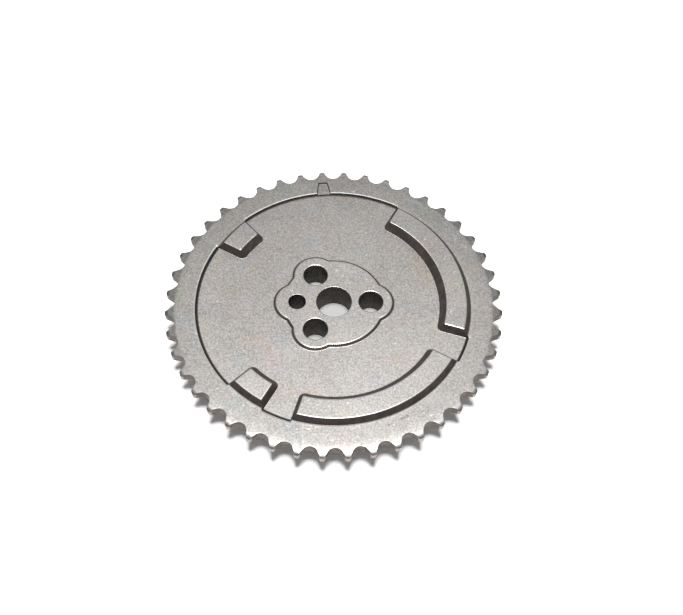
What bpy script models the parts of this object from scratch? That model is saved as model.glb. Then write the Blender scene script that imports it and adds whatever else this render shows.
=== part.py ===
"""Cam sprocket for a roller timing chain, with four raised trigger lands.

It is pressed and sintered in one piece, so the model is one solid: a turned blank, with the
tooth gaps and the sunk disc with its four pockets cut out of it, and a lobed hub boss that
carries the centre bore, the three bolt holes and the dowel hole.

Metres, +Z up. The axis is Z. The back face of the hub is at Z = 0, and the lands, the pockets
and the timing mark are on the upper side. One bolt hole is towards +X, the dowel hole towards -X.
"""
import math

import bmesh
import bpy

MM = 0.001

# Chain and teeth
CHAIN_PITCH = 9.525 * MM
TEETH = 44
ROLLER_DIAMETER = 6.35 * MM
SEAT_CLEARANCE = 0.03 * MM
FLANK_ANGLE = math.radians(29)
TIP_DIAMETER = 135.2 * MM
TOOTH_WIDTH = 4.7 * MM
RELIEF_LENGTH = 6.6 * MM
RELIEF_DROP = 0.85 * MM

# Heights
HUB_LENGTH = 12.2 * MM
HUB_ABOVE_RIM = 0.05 * MM
LAND_HEIGHT = 2.38 * MM
POCKET_DEPTH = 0.77 * MM

# Trigger lands: the ends that switch the sensor are a quarter turn apart
SWITCH_ANGLE = math.radians(60.4)
LAND_ANGLES = [math.radians(a) for a in (78, 18, 18, 78)]
LAND_OUTER_RADIUS = 54.58 * MM
LAND_INNER_RADIUS = 42.36 * MM
LAND_OUTER_SLOPE = 1.55 * MM
LAND_INNER_SLOPE = 2.5 * MM
LAND_END_SLOPE = 1.5 * MM
LAND_CORNER_RADIUS = 2.2 * MM
LAND_EDGE_RADIUS = 1.1 * MM
LAND_FOOT_RADIUS = 0.4 * MM
POCKET_OUTER_RADIUS = 54.7 * MM
POCKET_WALL_SLOPE = 0.83 * MM
POCKET_CORNER_RADIUS = 0.5 * MM
RIM_EDGE_RADIUS = 0.3 * MM

# Hub
HUB_RADIUS = 20.7 * MM
LOBE_RADIUS = 9.5 * MM
LOBE_FILLET = 1.0 * MM
HUB_SLOPE = 1.1 * MM
HUB_EDGE_RADIUS = 1.2 * MM
HUB_FOOT_RADIUS = 0.8 * MM
HOLE_CIRCLE_RADIUS = 14.8 * MM
BORE_DIAMETER = 14.0 * MM
BOLT_HOLE_DIAMETER = 9.3 * MM
DOWEL_HOLE_DIAMETER = 6.8 * MM
BOLT_ANGLES = [math.radians(a) for a in (0, 120, 240)]
DOWEL_ANGLE = math.radians(180)
BORE_CHAMFER = 0.3 * MM
BOLT_HOLE_CHAMFER = 0.7 * MM
DOWEL_HOLE_CHAMFER = 0.3 * MM
BACK_HOLE_CHAMFER = 0.3 * MM
BACK_HUB_RADIUS = 24.6 * MM
BACK_CHAMFER = 0.5 * MM

# Timing mark: a shallow recess in the rim, open to the pocket and in line with a tooth
MARK_TOOTH = 11
MARK_DEPTH = 0.4 * MM
MARK_LENGTH = 5.9 * MM
MARK_BASE_WIDTH = 5.9 * MM
MARK_END_WIDTH = 4.0 * MM
MARK_CORNER_RADIUS = 0.5 * MM
MARK_WALL_SLOPE = 0.35 * MM

# How finely curves are divided
STEPS_PER_TOOTH = 2
SEAT_STEPS = 9
ROUND_STEPS = 2
CORNER_STEPS = 3
HOLE_STEPS = 36
ARC_STEP = math.radians(3.6)
RELIEF_SHARES = (0, 0.62, 0.85, 0.96, 1)
SHARP_ANGLE = math.radians(30)
OVERCUT = 0.5 * MM

# Worked out from the sizes above
TOOTH_ANGLE = 2 * math.pi / TEETH
PITCH_RADIUS = CHAIN_PITCH / (2 * math.sin(TOOTH_ANGLE / 2))
ROOT_RADIUS = PITCH_RADIUS - ROLLER_DIAMETER / 2
SEAT_RADIUS = ROLLER_DIAMETER / 2 + SEAT_CLEARANCE
TIP_RADIUS = TIP_DIAMETER / 2
RIM_Z = HUB_LENGTH - HUB_ABOVE_RIM
BAND_BACK_Z = RIM_Z - TOOTH_WIDTH
LAND_Z = RIM_Z + LAND_HEIGHT
POCKET_Z = RIM_Z - POCKET_DEPTH


def clear_scene():
    for obj in list(bpy.data.objects):
        bpy.data.objects.remove(obj, do_unlink=True)


def polar(radius, angle):
    return (radius * math.cos(angle), radius * math.sin(angle))


def arc(centre, radius, start, end, steps):
    """Points of an arc in the XY plane, both ends included."""
    angles = [start + (end - start) * i / steps for i in range(steps + 1)]
    return [(centre[0] + radius * math.cos(a), centre[1] + radius * math.sin(a)) for a in angles]


def arc_steps(angle):
    return max(2, round(abs(angle) / ARC_STEP))


def rotated(points, angle):
    c, s = math.cos(angle), math.sin(angle)
    return [(c * x - s * y, s * x + c * y) for x, y in points]


def loft_into(bm, outlines):
    """Closed skin through (outline, z) pairs that have the same number of points each."""
    loops = [[bm.verts.new((x, y, z)) for x, y in outline] for outline, z in outlines]
    for low, high in zip(loops, loops[1:]):
        for i in range(len(low)):
            j = (i + 1) % len(low)
            bm.faces.new((low[i], low[j], high[j], high[i]))
    bm.faces.new(loops[0])
    bm.faces.new(loops[-1])


def turn_into(bm, profile, centre, steps):
    """Turned solid from (radius, z) points that run from its lower to its upper face."""
    loft_into(bm, [(arc(centre, radius, 0, 2 * math.pi, steps)[:-1], z) for radius, z in profile])


def add_object(name, bm):
    bmesh.ops.recalc_face_normals(bm, faces=bm.faces)
    mesh = bpy.data.meshes.new(name)
    bm.to_mesh(mesh)
    bm.free()
    obj = bpy.data.objects.new(name, mesh)
    bpy.context.collection.objects.link(obj)
    return obj


def wall(foot_z, top_z, slope, foot_radius, edge_radius):
    """Side of a raised form as (offset from its foot, z): foot fillet, draft and rounded edge.

    The slope runs between the sharp corners, and the fillet and the rounding touch it.
    """
    lean = math.atan2(top_z - foot_z, slope)
    turns = [lean * i / ROUND_STEPS for i in range(ROUND_STEPS + 1)]
    foot_start = -foot_radius * math.tan(lean / 2)
    edge_end = slope + edge_radius * math.tan(lean / 2)
    foot = [(foot_start + foot_radius * math.sin(a), foot_z + foot_radius * (1 - math.cos(a))) for a in turns]
    edge = [(edge_end - edge_radius * math.sin(a), top_z - edge_radius * (1 - math.cos(a))) for a in turns]
    return foot + edge[::-1]


def run_on(points, rise):
    """Adds a point past the last one, in line with the last two, so that a cut runs clear."""
    (x0, z0), (x1, z1) = points[-2:]
    return points + [(x1 + (x1 - x0) / (z1 - z0) * rise, z1 + rise)]


def offset_at(side, z):
    """Offset of a wall at a height, straight between its points and constant past its ends."""
    for (x0, z0), (x1, z1) in zip(side, side[1:]):
        if z0 <= z <= z1:
            return x0 + (x1 - x0) * (z - z0) / (z1 - z0)
    return side[0][0] if z < side[0][1] else side[-1][0]


def relief():
    """How far the faces of the tooth band fall towards the tips, as (radius, drop)."""
    start = TIP_RADIUS - RELIEF_LENGTH
    return [(start + RELIEF_LENGTH * a, RELIEF_DROP * (1 - math.sqrt(1 - a ** 2))) for a in RELIEF_SHARES]


def make_blank():
    """Turned blank: hub at the back, tooth band with relieved faces, and a plateau for the lands."""
    profile = [
        (BACK_HUB_RADIUS - BACK_CHAMFER, 0.0),
        (BACK_HUB_RADIUS, BACK_CHAMFER),
        (BACK_HUB_RADIUS, BAND_BACK_Z - BACK_CHAMFER),
        (BACK_HUB_RADIUS + BACK_CHAMFER, BAND_BACK_Z),
    ]
    profile += [(radius, BAND_BACK_Z + drop) for radius, drop in relief()]
    profile += [(radius, RIM_Z - drop) for radius, drop in reversed(relief())]
    side = wall(RIM_Z, LAND_Z, LAND_OUTER_SLOPE, LAND_FOOT_RADIUS, LAND_EDGE_RADIUS)
    profile += [(LAND_OUTER_RADIUS - offset, z) for offset, z in side]
    bm = bmesh.new()
    turn_into(bm, profile, (0.0, 0.0), TEETH * STEPS_PER_TOOTH)
    return add_object('cam_gear', bm)


def gap_outline():
    """Outline of the tooth gap on +X: a roller seat with straight flanks, open past the tips."""
    half_turn = math.pi / 2 - FLANK_ANGLE
    centre = (ROOT_RADIUS + SEAT_RADIUS, 0.0)
    seat = arc(centre, SEAT_RADIUS, math.pi - half_turn, math.pi + half_turn, SEAT_STEPS)
    reach = TIP_RADIUS + OVERCUT - seat[0][0]
    spread = seat[0][1] + reach * math.tan(FLANK_ANGLE)
    outside = seat[0][0] + reach
    return [(outside, spread)] + seat + [(outside, -spread)]


def make_gaps():
    bm = bmesh.new()
    outline = gap_outline()
    for k in range(TEETH):
        gap = rotated(outline, k * TOOTH_ANGLE)
        loft_into(bm, [(gap, BAND_BACK_Z - OVERCUT), (gap, RIM_Z + OVERCUT)])
    return add_object('tooth_gaps', bm)


def pocket_outline(inner_radius, end_offset, corner_radius, outer_radius):
    """Outline of the sunk disc with its four pockets, at one height.

    The end of a land is parallel to a radius. Its inner corner is round and belongs to the
    land, and the corner outside it is round and belongs to the pocket.
    """
    ends = [SWITCH_ANGLE + k * math.pi / 2 for k in range(len(LAND_ANGLES))]
    starts = [end - width for end, width in zip(ends, LAND_ANGLES)]
    land_centre = inner_radius + corner_radius
    land_turn = math.asin((end_offset + corner_radius) / land_centre)
    pocket_centre = outer_radius - POCKET_CORNER_RADIUS
    pocket_turn = math.asin((POCKET_CORNER_RADIUS - end_offset) / pocket_centre)
    quarter = math.pi / 2
    points = []
    for start, end, following in zip(starts, ends, starts[1:] + [starts[0] + 2 * math.pi]):
        land_arc = (start + land_turn, end - land_turn)
        points += arc((0, 0), inner_radius, *land_arc, arc_steps(end - start))
        corner = polar(land_centre, end - land_turn)
        points += arc(corner, corner_radius, end - land_turn + math.pi, end + quarter, CORNER_STEPS)[1:]
        corner = polar(pocket_centre, end + pocket_turn)
        points += arc(corner, POCKET_CORNER_RADIUS, end - quarter, end + pocket_turn, CORNER_STEPS)
        pocket_arc = (end + pocket_turn, following - pocket_turn)
        points += arc((0, 0), outer_radius, *pocket_arc, arc_steps(following - end))[1:-1]
        corner = polar(pocket_centre, following - pocket_turn)
        points += arc(corner, POCKET_CORNER_RADIUS, following - pocket_turn, following + quarter, CORNER_STEPS)
        corner = polar(land_centre, following + land_turn)
        points += arc(corner, corner_radius, following - quarter, following + land_turn - math.pi,
                      CORNER_STEPS)[:-1]
    return points


def make_pockets():
    """Cutter for the sunk disc and the pockets, which leaves the four lands standing."""
    inner = run_on(wall(POCKET_Z, LAND_Z, LAND_INNER_SLOPE, LAND_FOOT_RADIUS, LAND_EDGE_RADIUS), OVERCUT)
    ends = run_on(wall(POCKET_Z, LAND_Z, LAND_END_SLOPE, LAND_FOOT_RADIUS, LAND_EDGE_RADIUS), OVERCUT)
    outer = run_on(wall(POCKET_Z, RIM_Z, POCKET_WALL_SLOPE, LAND_FOOT_RADIUS, RIM_EDGE_RADIUS), OVERCUT)
    # heights of the inner wall and of the rim's edge, which the ends follow closely enough
    levels = sorted({z for _, z in inner + outer[ROUND_STEPS + 1:]})
    outlines = []
    for z in levels:
        end_offset = offset_at(ends, z)
        corner = max(LAND_CORNER_RADIUS - end_offset, LAND_EDGE_RADIUS / 2)
        inner_radius = LAND_INNER_RADIUS + offset_at(inner, z)
        outer_radius = POCKET_OUTER_RADIUS + offset_at(outer, z)
        outlines.append((pocket_outline(inner_radius, end_offset, corner, outer_radius), z))
    bm = bmesh.new()
    loft_into(bm, outlines)
    return add_object('pockets', bm)


def hub_outline(offset):
    """Outline of the hub boss: a round boss with a lobe about each hole, filleted where they meet."""
    hub, lobe, fillet = HUB_RADIUS - offset, LOBE_RADIUS - offset, LOBE_FILLET + offset
    lobes = sorted(a % (2 * math.pi) for a in BOLT_ANGLES + [DOWEL_ANGLE])
    # triangle of the axis, the centre of a lobe and the centre of a fillet
    far, near, base = hub + fillet, lobe + fillet, HOLE_CIRCLE_RADIUS
    axis_turn = math.acos((far ** 2 + base ** 2 - near ** 2) / (2 * far * base))
    lobe_turn = math.acos((base ** 2 + near ** 2 - far ** 2) / (2 * base * near))
    points = []
    for angle, following in zip(lobes, lobes[1:] + [lobes[0] + 2 * math.pi]):
        lobe_centre = polar(HOLE_CIRCLE_RADIUS, angle)
        reach = math.pi - lobe_turn
        points += arc(lobe_centre, lobe, angle - reach, angle + reach, arc_steps(reach))
        fillet_centre = polar(far, angle + axis_turn)
        fillet_arc = (angle + reach + math.pi, angle + axis_turn + math.pi)
        points += arc(fillet_centre, fillet, *fillet_arc, CORNER_STEPS)[1:]
        hub_arc = (angle + axis_turn, following - axis_turn)
        points += arc((0, 0), hub, *hub_arc, arc_steps(hub_arc[1] - hub_arc[0]))[1:]
        fillet_centre = polar(far, following - axis_turn)
        fillet_arc = (following - axis_turn + math.pi, following - reach + math.pi)
        points += arc(fillet_centre, fillet, *fillet_arc, CORNER_STEPS)[1:-1]
    return points


def make_hub():
    side = wall(POCKET_Z, HUB_LENGTH, HUB_SLOPE, HUB_FOOT_RADIUS, HUB_EDGE_RADIUS)
    rooted = [(side[0][0], POCKET_Z - OVERCUT)] + side
    bm = bmesh.new()
    loft_into(bm, [(hub_outline(offset), z) for offset, z in rooted])
    return add_object('hub_boss', bm)


def hole_into(bm, centre, diameter, chamfer):
    radius = diameter / 2
    profile = [
        (radius + BACK_HOLE_CHAMFER + OVERCUT, -OVERCUT),
        (radius, BACK_HOLE_CHAMFER),
        (radius, HUB_LENGTH - chamfer),
        (radius + chamfer + OVERCUT, HUB_LENGTH + OVERCUT),
    ]
    turn_into(bm, profile, centre, HOLE_STEPS)


def make_holes():
    bm = bmesh.new()
    hole_into(bm, (0.0, 0.0), BORE_DIAMETER, BORE_CHAMFER)
    for angle in BOLT_ANGLES:
        hole_into(bm, polar(HOLE_CIRCLE_RADIUS, angle), BOLT_HOLE_DIAMETER, BOLT_HOLE_CHAMFER)
    hole_into(bm, polar(HOLE_CIRCLE_RADIUS, DOWEL_ANGLE), DOWEL_HOLE_DIAMETER, DOWEL_HOLE_CHAMFER)
    return add_object('holes', bm)


def mark_outline(offset):
    """Outline of the timing mark on +X, drawn in by an offset: it narrows towards the teeth."""
    rim_edge = POCKET_OUTER_RADIUS + POCKET_WALL_SLOPE
    taper = math.atan((MARK_BASE_WIDTH - MARK_END_WIDTH) / 2 / MARK_LENGTH)
    inside = rim_edge - 2 * OVERCUT
    end = rim_edge + MARK_LENGTH - offset
    half_end = MARK_END_WIDTH / 2 + (MARK_LENGTH - (end - rim_edge)) * math.tan(taper) - offset / math.cos(taper)
    half_base = half_end + (end - inside) * math.tan(taper)
    radius = MARK_CORNER_RADIUS
    corner_y = half_end - radius * (1 - math.sin(taper)) / math.cos(taper)
    corner = arc((end - radius, corner_y), radius, 0, math.pi / 2 - taper, CORNER_STEPS)
    mirrored = [(x, -y) for x, y in reversed(corner)]
    return [(inside, -half_base)] + mirrored + corner + [(inside, half_base)]


def make_mark():
    angle = (MARK_TOOTH + 0.5) * TOOTH_ANGLE
    side = run_on([(MARK_WALL_SLOPE, RIM_Z - MARK_DEPTH), (0.0, RIM_Z)], OVERCUT)
    bm = bmesh.new()
    loft_into(bm, [(rotated(mark_outline(offset), angle), z) for offset, z in side])
    return add_object('timing_mark', bm)


def cut(obj, tool, operation):
    boolean = obj.modifiers.new(tool.name, 'BOOLEAN')
    boolean.operation = operation
    boolean.solver = 'EXACT'
    # past the tips the cutters of two gaps can meet, when the tips are made larger
    boolean.use_self = tool.name == 'tooth_gaps'
    boolean.object = tool


def settle(obj, tools):
    """Replaces the object's mesh by the result of its cuts and removes the tools."""
    graph = bpy.context.evaluated_depsgraph_get()
    mesh = bpy.data.meshes.new_from_object(obj.evaluated_get(graph))
    obj.modifiers.clear()
    obj.data = mesh
    for tool in tools:
        bpy.data.objects.remove(tool, do_unlink=True)


def sintered_steel():
    material = bpy.data.materials.new('sintered_steel')
    material.use_nodes = True
    shader = material.node_tree.nodes['Principled BSDF']
    shader.inputs['Base Color'].default_value = (0.42, 0.41, 0.39, 1.0)
    shader.inputs['Roughness'].default_value = 0.5
    shader.inputs['Metallic'].default_value = 0.9
    return material


def make_gear():
    gear = make_blank()
    tools = [make_gaps(), make_pockets(), make_hub(), make_holes(), make_mark()]
    for tool in tools:
        cut(gear, tool, 'UNION' if tool.name == 'hub_boss' else 'DIFFERENCE')
    settle(gear, tools)
    gear.data.materials.clear()
    gear.data.materials.append(sintered_steel())
    gear.data.shade_smooth()
    gear.data.set_sharp_from_angle(angle=SHARP_ANGLE)
    return gear


clear_scene()
make_gear()
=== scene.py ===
import math

import bmesh
import bpy
from mathutils import Matrix


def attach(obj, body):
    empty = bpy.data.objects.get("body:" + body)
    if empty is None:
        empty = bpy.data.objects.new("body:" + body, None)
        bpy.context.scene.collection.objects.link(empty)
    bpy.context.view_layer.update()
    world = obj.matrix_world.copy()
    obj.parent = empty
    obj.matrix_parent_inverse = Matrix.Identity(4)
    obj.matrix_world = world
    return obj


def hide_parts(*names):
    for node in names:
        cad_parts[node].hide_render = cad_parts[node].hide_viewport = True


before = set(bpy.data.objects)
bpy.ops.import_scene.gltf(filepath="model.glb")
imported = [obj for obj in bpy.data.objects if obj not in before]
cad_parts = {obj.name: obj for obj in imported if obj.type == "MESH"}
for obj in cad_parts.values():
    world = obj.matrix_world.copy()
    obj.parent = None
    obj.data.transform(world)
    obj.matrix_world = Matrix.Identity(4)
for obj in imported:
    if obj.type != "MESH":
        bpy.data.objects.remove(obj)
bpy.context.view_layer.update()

MM = 0.001
FULL_TURN = 2 * math.pi
QUARTER = math.pi / 2

# Chain and teeth
CHAIN_PITCH = 9.525 * MM
TEETH = 44
ROLLER_DIAMETER = 6.35 * MM
SEAT_CLEARANCE = 0.03 * MM
FLANK_ANGLE = math.radians(29)
TIP_DIAMETER = 135.14 * MM
TIP_CORNER_RADIUS = 0.6 * MM
TOOTH_EDGE_RADIUS = 0.08 * MM
TOOTH_WIDTH = 4.7 * MM
RELIEF_LENGTH = 6.6 * MM
RELIEF_DROP = 0.85 * MM
FACE_FALL = 0.01 * MM

# Heights
HUB_LENGTH = 12.2 * MM
HUB_ABOVE_RIM = 0.05 * MM
LAND_HEIGHT = 2.38 * MM
POCKET_DEPTH = 0.77 * MM

# Sensor lands and the pockets between them
SWITCH_ANGLE = math.radians(60.4)
LAND_ANGLES = [math.radians(a) for a in (78, 18, 18, 78)]
LAND_OUTER_RADIUS = 54.58 * MM
LAND_INNER_RADIUS = 42.36 * MM
LAND_OUTER_SLOPE = 1.55 * MM
LAND_INNER_SLOPE = 2.5 * MM
LAND_END_SLOPE = 1.5 * MM
LAND_CORNER_RADIUS = 2.2 * MM
LAND_EDGE_RADIUS = 1.1 * MM
LAND_FOOT_RADIUS = 0.4 * MM
POCKET_OUTER_RADIUS = 54.7 * MM
POCKET_WALL_SLOPE = 0.97 * MM
POCKET_CORNER_RADIUS = 0.5 * MM
RIM_EDGE_RADIUS = 0.3 * MM
RIM_LIP_TURN = math.radians(9.5)
RIM_LIP_WIDTH = 0.4 * MM
RIM_LIP_RADIUS = 2.0 * MM

# Hub
HUB_RADIUS = 20.7 * MM
LOBE_RADIUS = 9.5 * MM
LOBE_FILLET = 1.0 * MM
HUB_SLOPE = 1.1 * MM
HUB_EDGE_RADIUS = 1.2 * MM
HUB_FOOT_RADIUS = 0.8 * MM
HOLE_CIRCLE_RADIUS = 14.8 * MM
BORE_DIAMETER = 14.0 * MM
BOLT_HOLE_DIAMETER = 9.3 * MM
DOWEL_HOLE_DIAMETER = 6.8 * MM
BOLT_ANGLES = [math.radians(a) for a in (0, 120, 240)]
DOWEL_ANGLE = math.radians(180)
BORE_CHAMFER = 0.3 * MM
BOLT_HOLE_CHAMFER = 0.7 * MM
DOWEL_HOLE_CHAMFER = 0.3 * MM
BACK_HOLE_CHAMFER = 0.3 * MM
BACK_HUB_RADIUS = 24.6 * MM
BACK_CHAMFER = 0.5 * MM

# Timing mark
MARK_TOOTH = 11
MARK_DEPTH = 0.4 * MM
MARK_LENGTH = 5.76 * MM
MARK_BASE_WIDTH = 5.9 * MM
MARK_END_WIDTH = 4.0 * MM
MARK_CORNER_RADIUS = 0.5 * MM
MARK_WALL_SLOPE = 0.35 * MM
MARK_EDGE_RADIUS = 0.05 * MM

# How finely curves are divided
SEAT_STEPS = 12
TIP_STEPS = 4
EDGE_STEPS = 3
ROUND_STEPS = 5
CORNER_STEPS = 6
HOLE_STEPS = 72
ARC_STEP = math.radians(1.5)
RELIEF_SHARES = (0.0, 0.35, 0.6, 0.8, 0.92, 0.98)
OVERCUT = 0.5 * MM
RUN_ON = 0.1 * MM
SHARP_ANGLE = math.radians(27)

# Worked out from the sizes above
TOOTH_ANGLE = FULL_TURN / TEETH
PITCH_RADIUS = CHAIN_PITCH / (2 * math.sin(TOOTH_ANGLE / 2))
ROOT_RADIUS = PITCH_RADIUS - ROLLER_DIAMETER / 2
SEAT_RADIUS = ROLLER_DIAMETER / 2 + SEAT_CLEARANCE
TIP_RADIUS = TIP_DIAMETER / 2
RELIEF_RADIUS = TIP_RADIUS - RELIEF_LENGTH
RIM_Z = HUB_LENGTH - HUB_ABOVE_RIM
BAND_BACK_Z = RIM_Z - TOOTH_WIDTH
LAND_Z = RIM_Z + LAND_HEIGHT
POCKET_Z = RIM_Z - POCKET_DEPTH

# Camera: where it looks, from how far and how it is turned
LENS = 52.705
SENSOR_WIDTH = 36.0
CAMERA_DISTANCE = 399.3 * MM
CAMERA_ELEVATION = math.radians(57.67)
CAMERA_ROLL = math.radians(1.665)
CAMERA_TURN = math.radians(2.068)
CAMERA_AIM = (3.077 * MM, -2.66 * MM, RIM_Z)

# Light and floor
SOFTBOX_SIZE = 0.26
SOFTBOX_HEIGHT = 0.95
SOFTBOX_SHIFT = -0.01
SOFTBOX_POWER = 5.6
CEILING_LEVELS = (0.10, 0.52)
ROOM_LEVEL = 0.13
FLOOR_SIZE = 8.0
FLOOR_GAP = 0.03 * MM
FLOOR_ALBEDO = 0.8
FLOOR_SHOWN = 2.2
# Painted shadow: the floor is shown darker under the hub, fading out between the radii of HUB_SHADE
FLOOR_SHOWN_IN_HUB_SHADOW = 1.0
HUB_SHADE = (22 * MM, 30 * MM)
FLOOR_FADE = (0.15, 0.5)
HORIZON_BAND = (0.08, 0.5)

# Colours of the walls, from the least to the most worn; the near-black painted shade of the walls below the
# rim; the pale painted reflection of the floor on the tips' sides; and the painted shade in the corners
LAND_WALL = ((0.068, 0.060, 0.054, 1.0), (0.130, 0.098, 0.088, 1.0))
HOLE_WALL = ((0.055, 0.046, 0.04, 1.0), (0.13, 0.107, 0.092, 1.0))
TOOTH_WALL = ((0.14, 0.12, 0.105, 1.0), (0.30, 0.245, 0.215, 1.0))
SUNK_WALL_SHADE = (0.028, 0.024, 0.021, 1.0)
TIP_FLOOR_REFLECTION = (0.66, 0.59, 0.55, 1.0)
CORNER_SHADE = (0.05, 0.042, 0.038, 1.0)

# Finish: tints of the face as (shift of their pattern, colour), and stains as
# (angle in degrees, radius, reach along the rim, reach across it, colour)
WARMTH = 0.05
PINK = (1.04, 0.975, 0.975, 1.0)
TAN = (1.06, 0.99, 0.90, 1.0)
GREEN = (0.91, 0.965, 0.90, 1.0)
BLUE = (0.90, 0.955, 1.0, 1.0)
PURPLE = (0.97, 0.93, 1.0, 1.0)
SCRATCHED = (1.35, 1.34, 1.32, 1.0)
PITTED = (0.45, 0.43, 0.42, 1.0)
FACE_TINTS = ((0.3, PINK), (0.6, TAN), (0.8, BLUE))
# Painted shade of the teeth at both sides
SIDE_TEETH_SHADE = (0.60, 0.625, 0.59, 1.0)
RIM_SHADE = 0.92
HUB_SHINE = 1.07
STAINS = (
    (49, 60 * MM, 8 * MM, 4 * MM, GREEN),
    (40, 60 * MM, 3 * MM, 5 * MM, BLUE),
    (56, 61 * MM, 3 * MM, 4 * MM, BLUE),
    (112, 60 * MM, 8 * MM, 4 * MM, GREEN),
    (86, 53 * MM, 4 * MM, 2 * MM, TAN),
    (109, 52 * MM, 4 * MM, 2.5 * MM, PINK),
    (25, 39 * MM, 13 * MM, 4 * MM, TAN),
    (139, 37 * MM, 7 * MM, 4 * MM, PINK),
    (178, 63 * MM, 9 * MM, 3 * MM, GREEN),
    (198, 58 * MM, 5 * MM, 1.5 * MM, BLUE),
    (170, 58 * MM, 3 * MM, 1.5 * MM, BLUE),
    (192, 53 * MM, 5 * MM, 2 * MM, TAN),
    (186, 52.5 * MM, 2.5 * MM, 1.5 * MM, GREEN),
    (185, 50.5 * MM, 2.5 * MM, 1.2 * MM, PURPLE),
    (155, 37 * MM, 6 * MM, 3 * MM, TAN),
    (155, 52 * MM, 6 * MM, 2 * MM, TAN),
    (123, 58 * MM, 5 * MM, 2.5 * MM, BLUE),
    (86, 49 * MM, 4 * MM, 2 * MM, BLUE),
    (11, 44.8 * MM, 6 * MM, 1.6 * MM, BLUE),
    (91, 58.5 * MM, 0.3 * MM, 1.6 * MM, SCRATCHED),
    (200, 58 * MM, 2.2 * MM, 0.3 * MM, SCRATCHED),
    (262, 58.6 * MM, 1.8 * MM, 0.3 * MM, SCRATCHED),
    (218, 34 * MM, 10 * MM, 5 * MM, PINK),
    (94, 58.6 * MM, 2.0 * MM, 2.6 * MM, PINK),
    (297, 57.6 * MM, 2.2 * MM, 0.7 * MM, PITTED),
    (290, 58 * MM, 1.0 * MM, 0.6 * MM, PITTED),
)


def polar(radius, angle):
    return (radius * math.cos(angle), radius * math.sin(angle))


def arc(centre, radius, start, end, steps):
    """Points of an arc in the XY plane, both ends included."""
    angles = [start + (end - start) * i / steps for i in range(steps + 1)]
    return [(centre[0] + radius * math.cos(a), centre[1] + radius * math.sin(a)) for a in angles]


def arc_steps(angle):
    return max(2, round(abs(angle) / ARC_STEP))


def rotated(points, angle):
    c, s = math.cos(angle), math.sin(angle)
    return [(c * x - s * y, s * x + c * y) for x, y in points]


def on_circle(points, radius):
    return [(x * radius / math.hypot(x, y), y * radius / math.hypot(x, y)) for x, y in points]


def between(first, last, share):
    return [(a + (c - a) * share, b + (d - b) * share) for (a, b), (c, d) in zip(first, last)]


def round_over(radius, steps):
    """Quarter round as (offset, depth): from the wall, one radius deep, up to the face."""
    turns = [QUARTER * i / steps for i in range(steps + 1)]
    return [(radius * (1 - math.cos(a)), radius * (1 - math.sin(a))) for a in turns]


def rolled_out(radius, turns):
    """Points of an arc that starts level, as (distance across, height) at each turn."""
    return [(radius * math.sin(a), radius * (1 - math.cos(a))) for a in turns]


def wall(foot_z, top_z, slope, foot_radius, edge_radius):
    """Side of a raised form as (offset from its foot, z): foot fillet, draft and rounded edge.

    The slope runs between the sharp corners, and the fillet and the rounding touch it.
    """
    lean = math.atan2(top_z - foot_z, slope)
    turns = [lean * i / ROUND_STEPS for i in range(ROUND_STEPS + 1)]
    foot_start = -foot_radius * math.tan(lean / 2)
    edge_end = slope + edge_radius * math.tan(lean / 2)
    foot = [(foot_start + across, foot_z + up) for across, up in rolled_out(foot_radius, turns)]
    edge = [(edge_end - across, top_z - up) for across, up in rolled_out(edge_radius, turns)]
    return foot + edge[::-1]


def lipped(side):
    """Ends a wall with a wide lip that rises gently and rolls out level, in place of its sharp edge."""
    top_z = side[-1][1]
    turns = [RIM_LIP_TURN * i / ROUND_STEPS for i in range(ROUND_STEPS, -1, -1)]
    roll = RIM_LIP_RADIUS * (1 - math.cos(RIM_LIP_TURN))
    start_z = top_z - roll - RIM_LIP_WIDTH * math.tan(RIM_LIP_TURN)
    start = offset_at(side, start_z)
    centre = start + RIM_LIP_WIDTH + RIM_LIP_RADIUS * math.sin(RIM_LIP_TURN)
    rolled = [(centre - across, top_z - up) for across, up in rolled_out(RIM_LIP_RADIUS, turns)]
    return [(offset, z) for offset, z in side if z < start_z] + [(start, start_z)] + rolled


def run_on(points, rise):
    """Adds a point past the last one, in line with the last two, so that a cut runs clear."""
    (x0, z0), (x1, z1) = points[-2:]
    return points + [(x1 + (x1 - x0) / (z1 - z0) * rise, z1 + rise)]


def offset_at(side, z):
    """Offset of a wall at a height, straight between its points and constant past its ends."""
    for (x0, z0), (x1, z1) in zip(side, side[1:]):
        if z0 <= z <= z1:
            return x0 + (x1 - x0) * (z - z0) / (z1 - z0)
    return side[0][0] if z < side[0][1] else side[-1][0]


def ring_into(bm, points, height):
    """Closed wire through the points. The height is a number or a function of the radius."""
    level = height if callable(height) else lambda radius: height
    verts = [bm.verts.new((x, y, level(math.hypot(x, y)))) for x, y in points]
    return [bm.edges.new(pair) for pair in zip(verts, verts[1:] + verts[:1])]


def lofted(name, outlines):
    """Closed solid through (outline, height) pairs, with flat ends."""
    bm = bmesh.new()
    loft_into(bm, outlines)
    return add_object(name, bm)


def loft_into(bm, outlines):
    rings = [ring_into(bm, points, height) for points, height in outlines]
    for low, high in zip(rings, rings[1:]):
        bmesh.ops.bridge_loops(bm, edges=low + high)
    for end in (rings[0], rings[-1]):
        bmesh.ops.contextual_create(bm, geom=end)


def add_object(name, bm):
    bmesh.ops.recalc_face_normals(bm, faces=bm.faces)
    mesh = bpy.data.meshes.new(name)
    bm.to_mesh(mesh)
    bm.free()
    obj = bpy.data.objects.new(name, mesh)
    bpy.context.collection.objects.link(obj)
    return obj


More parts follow.
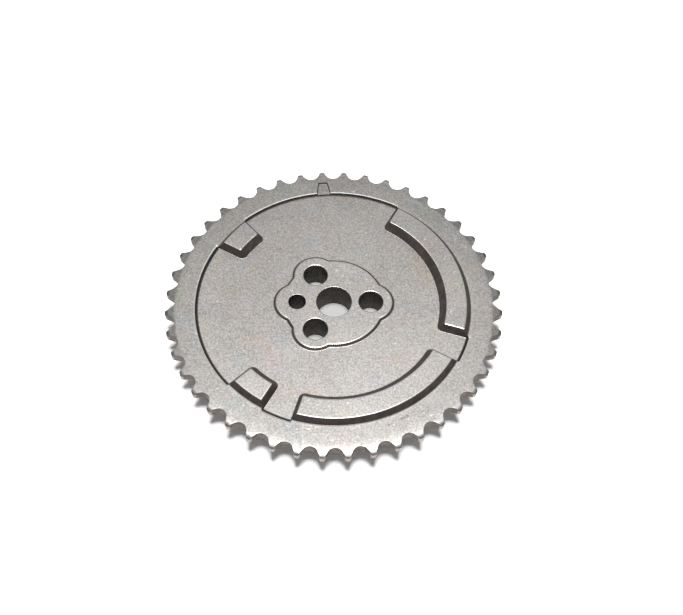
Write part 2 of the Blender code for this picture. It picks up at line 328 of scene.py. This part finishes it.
def tooth_outline(inset):
    """Outline of the toothed disc, drawn in by an inset: seats, flanks and rounded tips."""
    seat_centre = (ROOT_RADIUS + SEAT_RADIUS, 0.0)
    seat_turn = QUARTER - FLANK_ANGLE
    seat = arc(seat_centre, SEAT_RADIUS + inset, math.pi, math.pi - seat_turn, SEAT_STEPS // 2)
    flank = (math.cos(FLANK_ANGLE), math.sin(FLANK_ANGLE))
    foot = (seat_centre[0] - SEAT_RADIUS * flank[1], seat_centre[1] + SEAT_RADIUS * flank[0])
    along = foot[0] * flank[0] + foot[1] * flank[1]
    reach = math.sqrt(along ** 2 + TIP_RADIUS ** 2 - foot[0] ** 2 - foot[1] ** 2) - along
    corner = (foot[0] + reach * flank[0], foot[1] + reach * flank[1])
    turn = QUARTER + math.atan2(corner[1], corner[0]) - FLANK_ANGLE
    back = TIP_CORNER_RADIUS * math.tan(turn / 2)
    tip_centre = (
        corner[0] - back * flank[0] - TIP_CORNER_RADIUS * flank[1],
        corner[1] - back * flank[1] + TIP_CORNER_RADIUS * flank[0],
    )
    start = FLANK_ANGLE - QUARTER
    tip = arc(tip_centre, TIP_CORNER_RADIUS - inset, start, start + turn, TIP_STEPS)
    half = seat + tip
    middle = polar(TIP_RADIUS - inset, TOOTH_ANGLE / 2)
    mirrored = rotated([(x, -y) for x, y in reversed(half[1:])], TOOTH_ANGLE)
    pitch = half + [middle] + mirrored
    return [point for k in range(TEETH) for point in rotated(pitch, k * TOOTH_ANGLE)]


def relief_depth(radius):
    """How far a face has fallen at a radius: hardly over the rim, and then round towards the tips."""
    share = min(max(radius - RELIEF_RADIUS, 0) / RELIEF_LENGTH, 1)
    return FACE_FALL + RELIEF_DROP * (1 - math.sqrt(1 - share ** 2))


def make_blank():
    """Toothed disc with relieved faces and rounded edges, the hub behind it and a plateau for the lands."""
    outline = tooth_outline(0)
    loops = []

    def add(points, height):
        loops.append((points, height))

    def add_circle(radius, height):
        add(on_circle(outline, radius), height)

    for offset, depth in reversed(round_over(BACK_CHAMFER, ROUND_STEPS)):
        add_circle(BACK_HUB_RADIUS - offset, depth)
    for offset, depth in round_over(BACK_CHAMFER, ROUND_STEPS):
        add_circle(BACK_HUB_RADIUS + offset, BAND_BACK_Z - depth)
    start = on_circle(outline, RELIEF_RADIUS)
    edge = tooth_outline(TOOTH_EDGE_RADIUS)
    reliefs = [between(start, edge, share) for share in RELIEF_SHARES]
    for points in reliefs:
        add(points, lambda radius: BAND_BACK_Z + relief_depth(radius))
    for inset, depth in reversed(round_over(TOOTH_EDGE_RADIUS, EDGE_STEPS)):
        add(tooth_outline(inset), lambda radius, depth=depth: BAND_BACK_Z + relief_depth(radius) + depth)
    for inset, depth in round_over(TOOTH_EDGE_RADIUS, EDGE_STEPS):
        add(tooth_outline(inset), lambda radius, depth=depth: RIM_Z - relief_depth(radius) - depth)
    for points in reversed(reliefs):
        add(points, lambda radius: RIM_Z - relief_depth(radius))
    for offset, z in wall(RIM_Z, LAND_Z, LAND_OUTER_SLOPE, LAND_FOOT_RADIUS, LAND_EDGE_RADIUS):
        add_circle(LAND_OUTER_RADIUS - offset, z)
    return lofted('cam_gear_look', loops)


def pocket_outline(inner_radius, end_offset, corner_radius, outer_radius):
    """Outline of the sunk disc with its four pockets, at one height."""
    ends = [SWITCH_ANGLE + k * QUARTER for k in range(len(LAND_ANGLES))]
    starts = [end - width for end, width in zip(ends, LAND_ANGLES)]
    land_centre = inner_radius + corner_radius
    land_turn = math.asin((end_offset + corner_radius) / land_centre)
    pocket_centre = outer_radius - POCKET_CORNER_RADIUS
    pocket_turn = math.asin((POCKET_CORNER_RADIUS - end_offset) / pocket_centre)
    points = []
    for start, end, following in zip(starts, ends, starts[1:] + [starts[0] + FULL_TURN]):
        land_arc = (start + land_turn, end - land_turn)
        points += arc((0, 0), inner_radius, *land_arc, arc_steps(end - start))
        corner = polar(land_centre, end - land_turn)
        points += arc(corner, corner_radius, end - land_turn + math.pi, end + QUARTER, CORNER_STEPS)[1:]
        corner = polar(pocket_centre, end + pocket_turn)
        points += arc(corner, POCKET_CORNER_RADIUS, end - QUARTER, end + pocket_turn, CORNER_STEPS)
        pocket_arc = (end + pocket_turn, following - pocket_turn)
        points += arc((0, 0), outer_radius, *pocket_arc, arc_steps(following - end))[1:-1]
        corner = polar(pocket_centre, following - pocket_turn)
        corner_arc = (following - pocket_turn, following + QUARTER)
        points += arc(corner, POCKET_CORNER_RADIUS, *corner_arc, CORNER_STEPS)
        corner = polar(land_centre, following + land_turn)
        corner_arc = (following - QUARTER, following + land_turn - math.pi)
        points += arc(corner, corner_radius, *corner_arc, CORNER_STEPS)[:-1]
    return points


def make_pockets():
    """Cutter for the sunk disc and the pockets, which leaves the four lands standing."""
    land_radii = (LAND_FOOT_RADIUS, LAND_EDGE_RADIUS)
    inner = run_on(wall(POCKET_Z, LAND_Z, LAND_INNER_SLOPE, *land_radii), RUN_ON)
    ends = run_on(wall(POCKET_Z, LAND_Z, LAND_END_SLOPE, *land_radii), RUN_ON)
    rim = wall(POCKET_Z, RIM_Z, POCKET_WALL_SLOPE, LAND_FOOT_RADIUS, RIM_EDGE_RADIUS)
    outer = run_on(lipped(rim), RUN_ON)
    outlines = []
    for z in sorted({z for side in (inner, ends, outer) for _, z in side}):
        end_offset = offset_at(ends, z)
        corner = max(LAND_CORNER_RADIUS - end_offset, LAND_EDGE_RADIUS / 2)
        inner_radius = LAND_INNER_RADIUS + offset_at(inner, z)
        outer_radius = POCKET_OUTER_RADIUS + offset_at(outer, z)
        outlines.append((pocket_outline(inner_radius, end_offset, corner, outer_radius), z))
    return lofted('pockets', outlines)


def hub_outline(offset):
    """Outline of the hub boss: a round boss with a lobe about each hole, filleted where they meet."""
    hub, lobe, fillet = HUB_RADIUS - offset, LOBE_RADIUS - offset, LOBE_FILLET + offset
    lobes = sorted(a % FULL_TURN for a in BOLT_ANGLES + [DOWEL_ANGLE])
    # triangle of the axis, the centre of a lobe and the centre of a fillet
    far, near, base = hub + fillet, lobe + fillet, HOLE_CIRCLE_RADIUS
    axis_turn = math.acos((far ** 2 + base ** 2 - near ** 2) / (2 * far * base))
    lobe_turn = math.acos((base ** 2 + near ** 2 - far ** 2) / (2 * base * near))
    points = []
    for angle, following in zip(lobes, lobes[1:] + [lobes[0] + FULL_TURN]):
        reach = math.pi - lobe_turn
        centre = polar(HOLE_CIRCLE_RADIUS, angle)
        points += arc(centre, lobe, angle - reach, angle + reach, arc_steps(2 * reach))
        fillet_arc = (angle + reach + math.pi, angle + axis_turn + math.pi)
        points += arc(polar(far, angle + axis_turn), fillet, *fillet_arc, CORNER_STEPS)[1:]
        hub_arc = (angle + axis_turn, following - axis_turn)
        points += arc((0, 0), hub, *hub_arc, arc_steps(hub_arc[1] - hub_arc[0]))[1:]
        fillet_arc = (following - axis_turn + math.pi, following - reach + math.pi)
        points += arc(polar(far, following - axis_turn), fillet, *fillet_arc, CORNER_STEPS)[1:-1]
    return points


def make_hub():
    side = wall(POCKET_Z, HUB_LENGTH, HUB_SLOPE, HUB_FOOT_RADIUS, HUB_EDGE_RADIUS)
    rooted = [(side[0][0], POCKET_Z - OVERCUT)] + side
    return lofted('hub_boss', [(hub_outline(offset), z) for offset, z in rooted])


def hole_into(bm, centre, diameter, chamfer):
    """Round hole with a rounded mouth at both ends."""
    radius = diameter / 2
    upper = [(radius + offset, HUB_LENGTH - depth) for offset, depth in round_over(chamfer, ROUND_STEPS)]
    lower = [(radius + offset, depth) for offset, depth in round_over(BACK_HOLE_CHAMFER, ROUND_STEPS)]
    side = run_on(lower, -RUN_ON)[::-1] + run_on(upper, RUN_ON)
    loft_into(bm, [(arc(centre, radius, 0, FULL_TURN, HOLE_STEPS)[:-1], z) for radius, z in side])


def make_holes():
    bm = bmesh.new()
    hole_into(bm, (0.0, 0.0), BORE_DIAMETER, BORE_CHAMFER)
    for angle in BOLT_ANGLES:
        hole_into(bm, polar(HOLE_CIRCLE_RADIUS, angle), BOLT_HOLE_DIAMETER, BOLT_HOLE_CHAMFER)
    hole_into(bm, polar(HOLE_CIRCLE_RADIUS, DOWEL_ANGLE), DOWEL_HOLE_DIAMETER, DOWEL_HOLE_CHAMFER)
    return add_object('holes', bm)


def mark_outline(offset):
    """Outline of the timing mark on +X, drawn in by an offset: it narrows towards the teeth."""
    rim_edge = POCKET_OUTER_RADIUS + POCKET_WALL_SLOPE
    taper = math.atan((MARK_BASE_WIDTH - MARK_END_WIDTH) / 2 / MARK_LENGTH)
    inside = rim_edge - 2 * OVERCUT
    end = rim_edge + MARK_LENGTH - offset
    half_end = MARK_END_WIDTH / 2 - offset / math.cos(taper)
    half_end += (MARK_LENGTH - (end - rim_edge)) * math.tan(taper)
    half_base = half_end + (end - inside) * math.tan(taper)
    corner_y = half_end - MARK_CORNER_RADIUS * (1 - math.sin(taper)) / math.cos(taper)
    corner = arc((end - MARK_CORNER_RADIUS, corner_y), MARK_CORNER_RADIUS, 0, QUARTER - taper, CORNER_STEPS)
    mirrored = [(x, -y) for x, y in reversed(corner)]
    return [(inside, -half_base)] + mirrored + corner + [(inside, half_base)]


def make_mark():
    angle = (MARK_TOOTH + 0.5) * TOOTH_ANGLE
    edge = [(-offset, RIM_Z - depth) for offset, depth in round_over(MARK_EDGE_RADIUS, EDGE_STEPS)]
    side = [(MARK_WALL_SLOPE, RIM_Z - MARK_DEPTH)] + run_on(edge, RUN_ON)
    return lofted('timing_mark', [(rotated(mark_outline(offset), angle), z) for offset, z in side])


def cut(obj, tool, operation):
    boolean = obj.modifiers.new(tool.name, 'BOOLEAN')
    boolean.operation = operation
    boolean.solver = 'EXACT'
    boolean.object = tool


def make_gear():
    gear = make_blank()
    tools = [make_pockets(), make_hub(), make_holes(), make_mark()]
    for tool in tools:
        cut(gear, tool, 'UNION' if tool.name == 'hub_boss' else 'DIFFERENCE')
    graph = bpy.context.evaluated_depsgraph_get()
    mesh = bpy.data.meshes.new_from_object(gear.evaluated_get(graph))
    gear.modifiers.clear()
    gear.data = mesh
    for tool in tools:
        bpy.data.objects.remove(tool, do_unlink=True)
    mesh.materials.clear()
    mesh.materials.append(sintered_steel())
    mesh.shade_smooth()
    mesh.set_sharp_from_angle(angle=SHARP_ANGLE)
    weighted = gear.modifiers.new('face_normals', 'WEIGHTED_NORMAL')
    weighted.keep_sharp = True
    return gear


class Number:
    """A number that varies over the surface. Sums on it add Math nodes."""

    def __init__(self, finish, socket):
        self.finish = finish
        self.socket = socket

    def math(self, operation, *others):
        values = dict(enumerate((self,) + others))
        return self.finish.number('ShaderNodeMath', {'operation': operation}, values)

    def __add__(self, other):
        return self.math('ADD', other)

    __radd__ = __add__

    def __mul__(self, other):
        return self.math('MULTIPLY', other)

    __rmul__ = __mul__

    def __sub__(self, other):
        return self.math('SUBTRACT', other)

    def __rsub__(self, other):
        return (self * -1) + other

    def above(self, low, high):
        """0 under the low value, 1 over the high one, and a smooth step between."""
        settings = {'interpolation_type': 'SMOOTHSTEP'}
        values = {'Value': self, 'From Min': low, 'From Max': high}
        return self.finish.number('ShaderNodeMapRange', settings, values)


class Finish:
    """A node material. Any node besides its shader comes from the method named node."""

    def __init__(self, name):
        self.material = bpy.data.materials.new(name)
        self.material.use_nodes = True
        self.tree = self.material.node_tree
        self.shader = self.tree.nodes['Principled BSDF']

    def node(self, kind, settings, values):
        made = self.tree.nodes.new(kind)
        for name, value in settings.items():
            setattr(made, name, value)
        for name, value in values.items():
            self.put(made.inputs[name], value)
        return made

    def put(self, socket, value):
        if isinstance(value, Number):
            self.tree.links.new(value.socket, socket)
        elif isinstance(value, bpy.types.NodeSocket):
            self.tree.links.new(value, socket)
        else:
            socket.default_value = value

    def number(self, kind, settings, values, output=0):
        return Number(self, self.node(kind, settings, values).outputs[output])

    def noise(self, place, scale, detail=2.0, roughness=0.5, distortion=0.0):
        values = {'Vector': place, 'Scale': scale, 'Detail': detail, 'Roughness': roughness,
                  'Distortion': distortion}
        return self.number('ShaderNodeTexNoise', {}, values)

    def blend(self, share, first, second):
        """Colour that goes from the first to the second with the share."""
        made = self.node('ShaderNodeMix', {'data_type': 'RGBA'}, {0: share, 6: first, 7: second})
        return made.outputs[2]

    def surface(self, share, first, second):
        """Shader that goes from the first to the second with the share."""
        return self.node('ShaderNodeMixShader', {}, {0: share, 1: first, 2: second}).outputs[0]

    def place(self):
        return self.node('ShaderNodeTexCoord', {}, {}).outputs['Object']

    def part(self, vector, axis):
        return self.number('ShaderNodeSeparateXYZ', {}, {'Vector': vector}, output=axis)

    def moved(self, place, shift):
        return self.node('ShaderNodeMapping', {}, {'Vector': place, 'Location': shift}).outputs[0]

    def tinted(self, share, colour, tint):
        """Colour that takes on a tint with the share."""
        settings = {'data_type': 'RGBA', 'blend_type': 'MULTIPLY'}
        return self.node('ShaderNodeMix', settings, {0: share, 6: colour, 7: tint}).outputs[2]

    def spot(self, place, angle, radius, along, across):
        """1 in an oval on the face and 0 outside it, from where it lies and how far it reaches."""
        turn = math.radians(angle)
        values = {
            'Vector': place,
            'Location': (radius * math.cos(turn), radius * math.sin(turn), RIM_Z),
            'Rotation': (0, 0, turn),
            'Scale': (across, along, across + along),
        }
        local = self.node('ShaderNodeMapping', {'vector_type': 'TEXTURE'}, values).outputs[0]
        away = self.number('ShaderNodeVectorMath', {'operation': 'LENGTH'}, {'Vector': local}, output=1)
        ragged = self.noise(place, 330.0, detail=3.0, roughness=0.6)
        return 1 - (away + (ragged - 0.5) * 1.4).above(0.55, 1.1)


def grey(level, warmth=0.0):
    return (level * (1 + warmth), level, level * (1 - warmth), 1.0)


def face_colour(finish, place, radius, height, rolled):
    """Burnished grey of the flat faces, with its grain, pits, painted glints and faint stains, and a
    painted highlight on the rounded edges.
    """
    patches = finish.noise(place, 38.0, detail=3.0)
    shifted = finish.moved(place, (0.5, 0.2, 0.9))
    streaks = finish.noise(shifted, 170.0, detail=4.0, roughness=0.65, distortion=0.8)
    grain = finish.noise(place, 1300.0, detail=2.0, roughness=0.7)
    colour = finish.blend(patches.above(0.35, 0.65), grey(0.40, WARMTH), grey(0.47, WARMTH))
    colour = finish.blend(streaks.above(0.3, 0.7) * 0.16, colour, grey(0.8, WARMTH))
    for shift, tint in FACE_TINTS:
        cloud = finish.noise(finish.moved(place, (shift, 0.1, 0.7)), 90.0, detail=3.0)
        colour = finish.tinted(cloud.above(0.53, 0.68) * 0.8, colour, tint)
    for angle, distance, along, across, tint in STAINS:
        colour = finish.tinted(finish.spot(place, angle, distance, along, across), colour, tint)
    speckle = grain.above(0.28, 0.72)
    dark = finish.blend(0.31, colour, grey(0.12))
    pale = finish.blend(0.31, colour, grey(0.9, 0.02))
    colour = finish.blend(speckle, dark, pale)
    flecks = finish.noise(finish.moved(place, (0.9, 0.8, 0.3)), 700.0, detail=1.0)
    # Painted glints: bright specks stand in for the sparkle of metal grains; the dark specks on the next
    # line are pits
    colour = finish.blend(flecks.above(0.70, 0.78) * 0.6, colour, grey(0.95))
    colour = finish.blend((1 - flecks.above(0.22, 0.30)) * 0.4, colour, grey(0.10))
    colour = finish.tinted(radius.above(55.6 * MM, 56.6 * MM), colour, grey(RIM_SHADE))
    hub = height.above(RIM_Z - 0.4 * MM, RIM_Z - 0.2 * MM) * (1 - radius.above(30 * MM, 31 * MM))
    colour = finish.tinted(hub, colour, grey(HUB_SHINE))
    # Painted highlight: the rounded upper edges are made paler
    return finish.blend(rolled * 0.6, colour, grey(0.8, 0.01))


def wall_colour(finish, place, radius, height):
    """Brown-black of the pressed walls: darkest on the lands, paler in the holes and on the teeth;
    near-black as painted shade on the walls below the rim, and pale as a painted reflection of the floor on
    the tips' lower sides.
    """
    marks = finish.noise(finish.moved(place, (0.2, 0.5, 0.1)), 260.0, detail=3.0, roughness=0.7)
    worn = marks.above(0.38, 0.7)
    land = finish.blend(worn, *LAND_WALL)
    hole = finish.blend(worn, *HOLE_WALL)
    tooth = finish.blend(worn, *TOOTH_WALL)
    # Painted reflection of the white floor: the lower sides of the tips are made pale
    tip = radius.above(66.4 * MM, 67.2 * MM) * (1 - height.above(RIM_Z - 2.0 * MM, RIM_Z - 1.4 * MM))
    tooth = finish.blend(tip, tooth, TIP_FLOOR_REFLECTION)
    inner = finish.blend(radius.above(19.4 * MM, 19.6 * MM), hole, land)
    # Painted shade: the walls below the rim's level, in the pockets and the timing mark, are made
    # near-black
    sunk = radius.above(54.0 * MM, 54.1 * MM) * (1 - height.above(RIM_Z - 0.02 * MM, RIM_Z))
    inner = finish.blend(sunk, inner, SUNK_WALL_SHADE)
    return finish.blend(radius.above(62.4 * MM, 62.8 * MM), inner, tooth)


def land_walls(height):
    """1 at the height of the lands' walls, between the rim and the lands' rounded edges."""
    upper_edge = height.above(LAND_Z - 1.2 * MM, LAND_Z - MM)
    return height.above(RIM_Z + 0.06 * MM, RIM_Z + 0.08 * MM) * (1 - upper_edge)


def rounded_edges(upright, height, radius):
    """1 on the rounded upper edges, and 0 at the feet of the walls and on the timing mark."""
    tilted = upright.above(0.88, 0.94) * (1 - upright.above(0.985, 0.998))
    high = height.above(RIM_Z - 0.40 * MM, RIM_Z - 0.30 * MM) * (1 - land_walls(height))
    marked = radius.above(56.6 * MM, 56.8 * MM) * (1 - radius.above(62.5 * MM, 63.0 * MM))
    return tilted * high * (1 - marked)


def toothed(finish, face, x, y, radius):
    """Face colour with painted shade: darker towards the tips, and dimmed on the teeth at both sides."""
    # Painted shade: the faces darken towards the tips
    face = finish.blend(radius.above(65.6 * MM, 67.6 * MM) * 0.75, face, grey(0.1))
    # Painted shade: the teeth at both sides, away from the near side, are dimmed
    sideways = (x * x).math('DIVIDE', x * x + y * y).above(0.15, 0.6) * y.above(-40 * MM, -10 * MM)
    return finish.tinted(radius.above(63.0 * MM, 64.3 * MM) * sideways, face, SIDE_TEETH_SHADE)


def shaded_corners(finish, face, height, radius):
    """Face colour with painted shade in the corner below the rim and along the outer feet of the lands."""
    # Painted shade: the corner at the foot of the pocket walls is darkened
    corner = radius.above(54.2 * MM, 54.5 * MM)
    corner = corner * (1 - height.above(POCKET_Z + 0.05 * MM, POCKET_Z + 0.2 * MM))
    face = finish.blend(corner * 0.85, face, CORNER_SHADE)
    # Painted shade: a dark line along the outer feet of the lands
    seam = radius.above(54.3 * MM, 54.5 * MM) * (1 - radius.above(54.8 * MM, 55.1 * MM))
    seam = seam * height.above(RIM_Z - 0.1 * MM, RIM_Z - 0.05 * MM) * (1 - land_walls(height))
    return finish.blend(seam * 0.8, face, CORNER_SHADE)


def sintered_steel():
    finish = Finish('sintered_steel')
    place = finish.place()
    x, y, height = (finish.part(place, axis) for axis in range(3))
    radius = (x * x + y * y).math('SQRT')
    normal = finish.node('ShaderNodeNewGeometry', {}, {}).outputs['Normal']
    upright = finish.part(normal, 2).math('ABSOLUTE')
    flat = upright.above(0.84, 0.93)
    rolled = rounded_edges(upright, height, radius)
    face = face_colour(finish, place, radius, height, rolled)
    face = toothed(finish, face, x, y, radius)
    face = shaded_corners(finish, face, height, radius)
    colour = finish.blend(flat, wall_colour(finish, place, radius, height), face)
    finish.put(finish.shader.inputs['Base Color'], colour)
    finish.put(finish.shader.inputs['Metallic'], flat * 0.5 + 0.4)
    coarse = finish.noise(finish.moved(place, (0.7, 0.4, 0.2)), 520.0, detail=3.0, roughness=0.7)
    finish.put(finish.shader.inputs['Roughness'], 0.56 - flat * 0.1 - rolled * 0.1 + (coarse - 0.5) * 0.2)
    relief = finish.node('ShaderNodeBump', {}, {'Strength': 0.4, 'Distance': 0.05 * MM, 'Height': coarse})
    finish.put(finish.shader.inputs['Normal'], relief.outputs[0])
    return finish.material


def floor_white():
    """White table. As a background it is as pale as an overexposed one, and it keeps the shadow; under the
    hub its shown colour is turned down, a painted shadow.
    """
    finish = Finish('floor_white')
    path = finish.node('ShaderNodeLightPath', {}, {})
    shown = Number(finish, path.outputs['Is Camera Ray'])
    for ray in ('Is Glossy Ray', 'Is Transmission Ray'):
        shown = shown.math('MAXIMUM', path.outputs[ray])
    place = finish.place()
    x = finish.part(place, 0)
    y = finish.part(place, 1)
    radius = (x * x + y * y).math('SQRT')
    away = radius.above(*FLOOR_FADE)
    # Painted shadow under the hub
    shade = finish.blend(radius.above(*HUB_SHADE), grey(FLOOR_SHOWN_IN_HUB_SHADOW), grey(FLOOR_SHOWN))
    plain = finish.node('ShaderNodeBsdfDiffuse', {}, {'Color': grey(FLOOR_ALBEDO)}).outputs[0]
    near = finish.node('ShaderNodeBsdfDiffuse', {}, {'Color': shade}).outputs[0]
    far = finish.node('ShaderNodeEmission', {}, {'Color': grey(1.0)}).outputs[0]
    table = finish.surface(shown, plain, finish.surface(away, near, far))
    output = finish.tree.nodes['Material Output']
    finish.put(output.inputs['Surface'], table)
    finish.tree.nodes.remove(finish.shader)
    return finish.material


def make_floor():
    bm = bmesh.new()
    bmesh.ops.create_grid(bm, x_segments=1, y_segments=1, size=FLOOR_SIZE / 2)
    bmesh.ops.translate(bm, verts=bm.verts, vec=(0, 0, -FLOOR_GAP))
    floor = add_object('floor', bm)
    floor.data.materials.append(floor_white())
    return floor


def make_camera():
    data = bpy.data.cameras.new('camera')
    data.lens = LENS
    data.sensor_width = SENSOR_WIDTH
    data.clip_start = 0.01
    camera = bpy.data.objects.new('camera', data)
    bpy.context.collection.objects.link(camera)
    camera.matrix_world = (
        Matrix.Rotation(-CAMERA_TURN, 4, 'Z')
        @ Matrix.Translation(CAMERA_AIM)
        @ Matrix.Rotation(QUARTER - CAMERA_ELEVATION, 4, 'X')
        @ Matrix.Rotation(CAMERA_ROLL, 4, 'Z')
        @ Matrix.Translation((0, 0, CAMERA_DISTANCE))
    )
    bpy.context.scene.camera = camera


def make_light():
    data = bpy.data.lights.new('softbox', 'AREA')
    data.shape = 'SQUARE'
    data.size = SOFTBOX_SIZE
    data.energy = SOFTBOX_POWER
    softbox = bpy.data.objects.new('softbox', data)
    softbox.location = (0, SOFTBOX_SHIFT, SOFTBOX_HEIGHT)
    bpy.context.collection.objects.link(softbox)


def make_world():
    """Dim room with a white horizon, in which only the softbox is bright overhead.

    The horizon is a background: only the camera, metal and glass see how white it is.
    """
    world = bpy.data.worlds.new('room')
    world.use_nodes = True
    bpy.context.scene.world = world
    tree = world.node_tree
    direction = tree.nodes.new('ShaderNodeTexCoord')
    parts = tree.nodes.new('ShaderNodeSeparateXYZ')
    ramp = tree.nodes.new('ShaderNodeMapRange')
    ramp.interpolation_type = 'SMOOTHSTEP'
    ramp.inputs['From Min'].default_value, ramp.inputs['From Max'].default_value = HORIZON_BAND
    ramp.inputs['To Min'].default_value = 1.0
    ceiling = tree.nodes.new('ShaderNodeMapRange')
    ceiling.inputs['From Min'].default_value = -1.0
    ceiling.inputs['To Min'].default_value, ceiling.inputs['To Max'].default_value = CEILING_LEVELS
    tree.links.new(direction.outputs['Generated'], parts.inputs[0])
    tree.links.new(parts.outputs[2], ramp.inputs['Value'])
    tree.links.new(parts.outputs[1], ceiling.inputs['Value'])
    tree.links.new(ceiling.outputs[0], ramp.inputs['To Max'])
    path = tree.nodes.new('ShaderNodeLightPath')
    shown = path.outputs['Is Camera Ray']
    for ray in ('Is Glossy Ray', 'Is Transmission Ray'):
        either = tree.nodes.new('ShaderNodeMath')
        either.operation = 'MAXIMUM'
        tree.links.new(shown, either.inputs[0])
        tree.links.new(path.outputs[ray], either.inputs[1])
        shown = either.outputs[0]
    level = tree.nodes.new('ShaderNodeMix')
    level.inputs[2].default_value = ROOM_LEVEL
    tree.links.new(shown, level.inputs[0])
    tree.links.new(ramp.outputs[0], level.inputs[3])
    tree.links.new(level.outputs[0], tree.nodes['Background'].inputs['Strength'])
    tree.nodes['Background'].inputs['Color'].default_value = grey(1.0)


bpy.context.scene.view_settings.view_transform = 'Standard'
gear = make_gear()
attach(gear, 'root')
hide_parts('cam_gear')
make_floor()
make_light()
make_world()
make_camera()
